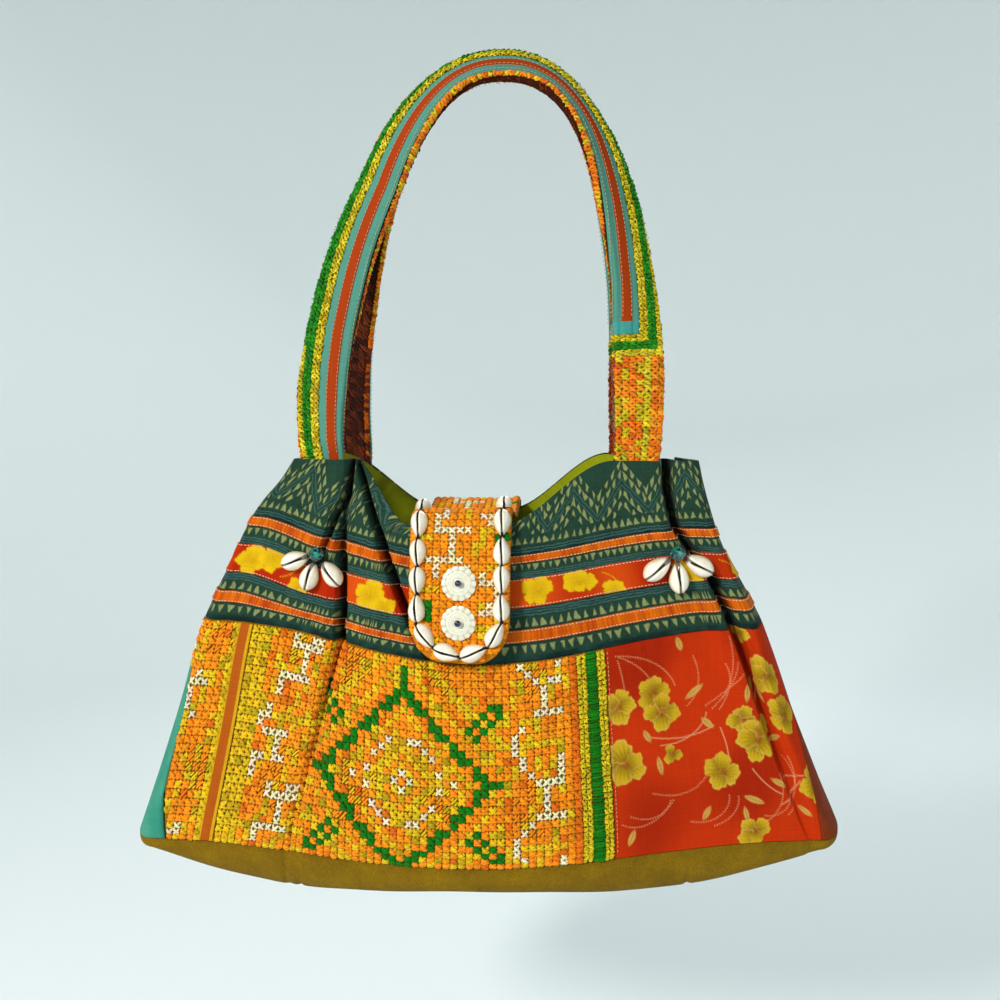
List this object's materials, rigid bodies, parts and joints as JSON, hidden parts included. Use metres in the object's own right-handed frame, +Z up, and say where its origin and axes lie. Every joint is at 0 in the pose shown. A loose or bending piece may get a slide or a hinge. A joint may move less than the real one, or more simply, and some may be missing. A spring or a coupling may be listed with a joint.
{
  "type": "patchwork tote bag with cowrie-edged flap",
  "caption": "Soft patchwork cloth tote with a flared body, two padded embroidered handles, and a flap over the mouth edged with cowrie shells.",
  "frame": {"origin": "under the top of both handles, where a hook or peg carries the bag", "axes": "+Z up along the hanging bag, -Y out of its front face with the flap, +X to the right seen from the front"},
  "size_m": [0.444, 0.1375, 0.5137],
  "materials": {
    "batik_cotton": "dark teal cotton with a pale resist-dyed pattern",
    "orange_ribbon": "orange-red woven ribbon with stitched edges",
    "flowered_ribbon": "red cotton ribbon with yellow flowers",
    "cross_stitch": "orange, yellow, cream and green cross stitch",
    "flowered_cotton": "red printed cotton with yellow flowers",
    "turquoise_cotton": "plain turquoise cotton",
    "brick_cotton": "plain brick-brown cotton",
    "olive_canvas": "olive-brown brushed canvas",
    "lime_lining": "lime cotton lining",
    "handle_cloth": "padded strap of embroidery and ribbons",
    "cowrie_shell": "polished cowrie shell",
    "shell_disc": "carved white shell",
    "blue_glass": "dark blue opaque glass bead",
    "teal_glass": "dark teal faceted opaque glass bead"
  },
  "bodies": {
    "root": {"yoke_front": "batik_cotton", "yoke_back": "batik_cotton", "ribbon_upper_front": "orange_ribbon", "ribbon_upper_back": "orange_ribbon", "ribbon_lower_front": "orange_ribbon", "ribbon_lower_back": "orange_ribbon", "ribbon_floral_front": "flowered_ribbon", "ribbon_floral_back": "flowered_ribbon", "embroidered_panel": "cross_stitch", "flap": "cross_stitch", "floral_panel": "flowered_cotton", "back_panel": "turquoise_cotton", "gusset_left": "turquoise_cotton", "gusset_right": "brick_cotton", "base": "olive_canvas", "lining": "lime_lining", "handle_front": "handle_cloth", "handle_back": "handle_cloth", "flap_cowrie_01": "cowrie_shell", "flap_cowrie_02": "cowrie_shell", "flap_cowrie_03": "cowrie_shell", "flap_cowrie_04": "cowrie_shell", "flap_cowrie_05": "cowrie_shell", "flap_cowrie_06": "cowrie_shell", "flap_cowrie_07": "cowrie_shell", "flap_cowrie_08": "cowrie_shell", "flap_cowrie_09": "cowrie_shell", "flap_cowrie_10": "cowrie_shell", "flap_cowrie_11": "cowrie_shell", "flap_cowrie_12": "cowrie_shell", "flap_cowrie_13": "cowrie_shell", "flap_cowrie_14": "cowrie_shell", "cluster_left_cowrie_1": "cowrie_shell", "cluster_left_cowrie_2": "cowrie_shell", "cluster_left_cowrie_3": "cowrie_shell", "cluster_right_cowrie_1": "cowrie_shell", "cluster_right_cowrie_2": "cowrie_shell", "cluster_right_cowrie_3": "cowrie_shell", "shell_disc_upper": "shell_disc", "shell_disc_lower": "shell_disc", "disc_bead_upper": "blue_glass", "disc_bead_lower": "blue_glass", "cluster_left_bead": "teal_glass", "cluster_right_bead": "teal_glass"}
  },
  "joints": []
}
